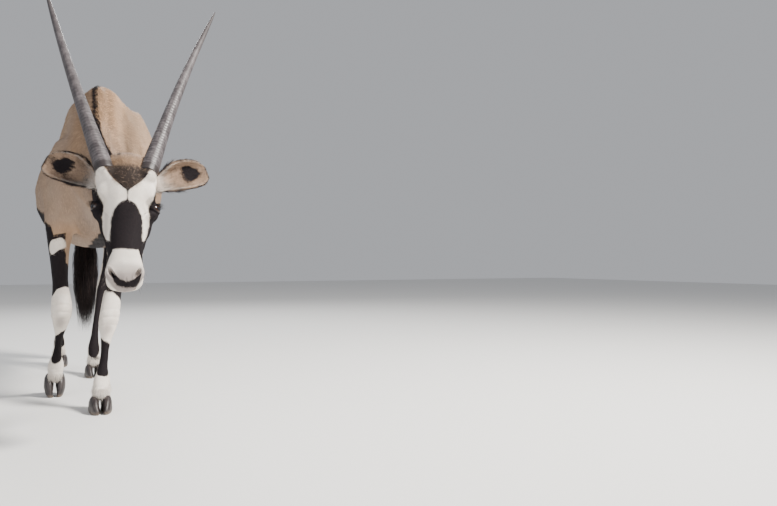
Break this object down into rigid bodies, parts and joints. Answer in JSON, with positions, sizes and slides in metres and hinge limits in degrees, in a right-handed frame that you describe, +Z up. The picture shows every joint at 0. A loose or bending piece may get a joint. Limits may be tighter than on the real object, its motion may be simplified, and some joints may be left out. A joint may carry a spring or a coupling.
{
  "type": "gemsbok",
  "caption": "Life-size still gemsbok walking with lowered head, long ringed horns, cupped ears, short mane, long-haired tail and cloven hooves.",
  "frame": {"origin": "on the floor, under the middle of the whole animal's bounding box", "axes": "-Y the way the animal walks and faces, +X its left side, +Z up"},
  "size_m": [0.5856, 1.8752, 1.431],
  "materials": {
    "hide": "short matte fur",
    "tail_hair": "long glossy black hair",
    "horn": "ringed grey-brown horn",
    "hoof": "dark worn horn",
    "eye": "wet dark brown"
  },
  "bodies": {
    "root": {"head": "hide", "neck": "hide", "torso": "hide", "leg_front_left": "hide", "leg_front_right": "hide", "leg_hind_left": "hide", "leg_hind_right": "hide", "ear_left": "hide", "ear_right": "hide", "eye_left": "eye", "eye_right": "eye", "horn_left": "horn", "horn_right": "horn", "tail": "tail_hair", "hoof_front_left_left": "hoof", "hoof_front_left_right": "hoof", "hoof_front_right_left": "hoof", "hoof_front_right_right": "hoof", "hoof_hind_left_left": "hoof", "hoof_hind_left_right": "hoof", "hoof_hind_right_left": "hoof", "hoof_hind_right_right": "hoof"}
  },
  "joints": []
}
